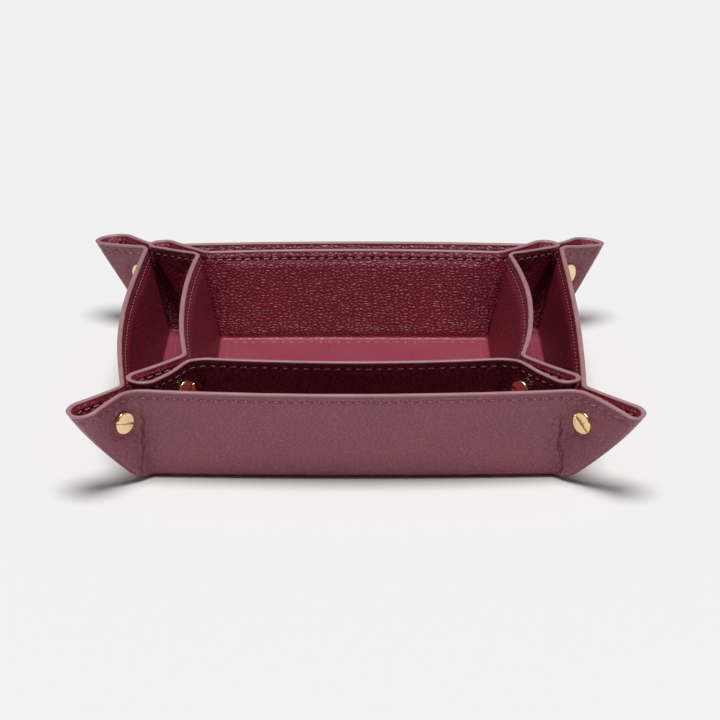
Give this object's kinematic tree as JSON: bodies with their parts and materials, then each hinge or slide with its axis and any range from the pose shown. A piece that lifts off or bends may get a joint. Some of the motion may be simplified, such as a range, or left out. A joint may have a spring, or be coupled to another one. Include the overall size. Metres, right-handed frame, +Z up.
{
  "type": "valet tray",
  "caption": "Square leather valet tray with a smaller tray nested in it, corners pinched into ears and held by slotted brass screws.",
  "frame": {"origin": "on the table, under the middle of the outer tray", "axes": "+Z up, X left to right, Y front to back; the slotted heads face the front and the back"},
  "size_m": [0.2194, 0.2194, 0.0441],
  "materials": {
    "outside_leather": "pebbled burgundy, satin",
    "lining_leather": "pebbled dark burgundy, satin",
    "thread": "waxed polyester thread",
    "board": "plain fibre board",
    "brass": "pale polished brass"
  },
  "bodies": {
    "outer_tray": {"outer_shell": "outside_leather", "outer_lining": "lining_leather", "outer_base_board": "board", "outer_rim_thread": "thread", "outer_base_thread": "thread", "outer_front_board": "board", "outer_right_board": "board", "outer_back_board": "board", "outer_left_board": "board", "outer_post_front_left": "brass", "outer_post_front_right": "brass", "outer_post_back_right": "brass", "outer_post_back_left": "brass"},
    "inner_tray": {"inner_shell": "outside_leather", "inner_lining": "lining_leather", "inner_base_board": "board", "inner_rim_thread": "thread", "inner_base_thread": "thread", "inner_front_board": "board", "inner_right_board": "board", "inner_back_board": "board", "inner_left_board": "board", "inner_post_front_left": "brass", "inner_post_front_right": "brass", "inner_post_back_right": "brass", "inner_post_back_left": "brass"},
    "outer_screw_front_left": {"outer_screw_front_left": "brass"},
    "outer_screw_front_right": {"outer_screw_front_right": "brass"},
    "outer_screw_back_right": {"outer_screw_back_right": "brass"},
    "outer_screw_back_left": {"outer_screw_back_left": "brass"},
    "inner_screw_front_left": {"inner_screw_front_left": "brass"},
    "inner_screw_front_right": {"inner_screw_front_right": "brass"},
    "inner_screw_back_right": {"inner_screw_back_right": "brass"},
    "inner_screw_back_left": {"inner_screw_back_left": "brass"}
  },
  "joints": [
    {"name": "inner_tray_lift", "type": "slide", "parent": "outer_tray", "child": "inner_tray", "axis": [0, 0, 1], "range_m": [0, 0.06]},
    {"name": "outer_screw_front_left_turn", "type": "hinge", "parent": "outer_tray", "child": "outer_screw_front_left", "pos_m": [-0.08988, -0.08988, 0.0272], "axis": [0.7071, -0.7071, 0], "range_deg": [0, 90]},
    {"name": "outer_screw_front_right_turn", "type": "hinge", "parent": "outer_tray", "child": "outer_screw_front_right", "pos_m": [0.08988, -0.08988, 0.0272], "axis": [-0.7071, -0.7071, 0], "range_deg": [0, 90]},
    {"name": "outer_screw_back_right_turn", "type": "hinge", "parent": "outer_tray", "child": "outer_screw_back_right", "pos_m": [0.08988, 0.08988, 0.0272], "axis": [-0.7071, 0.7071, 0], "range_deg": [0, 90]},
    {"name": "outer_screw_back_left_turn", "type": "hinge", "parent": "outer_tray", "child": "outer_screw_back_left", "pos_m": [-0.08988, 0.08988, 0.0272], "axis": [0.7071, 0.7071, 0], "range_deg": [0, 90]},
    {"name": "inner_screw_front_left_turn", "type": "hinge", "parent": "inner_tray", "child": "inner_screw_front_left", "pos_m": [-0.06706, -0.06706, 0.0318], "axis": [0.7071, -0.7071, 0], "range_deg": [0, 90]},
    {"name": "inner_screw_front_right_turn", "type": "hinge", "parent": "inner_tray", "child": "inner_screw_front_right", "pos_m": [0.06706, -0.06706, 0.0318], "axis": [-0.7071, -0.7071, 0], "range_deg": [0, 90]},
    {"name": "inner_screw_back_right_turn", "type": "hinge", "parent": "inner_tray", "child": "inner_screw_back_right", "pos_m": [0.06706, 0.06706, 0.0318], "axis": [-0.7071, 0.7071, 0], "range_deg": [0, 90]},
    {"name": "inner_screw_back_left_turn", "type": "hinge", "parent": "inner_tray", "child": "inner_screw_back_left", "pos_m": [-0.06706, 0.06706, 0.0318], "axis": [0.7071, 0.7071, 0], "range_deg": [0, 90]}
  ]
}
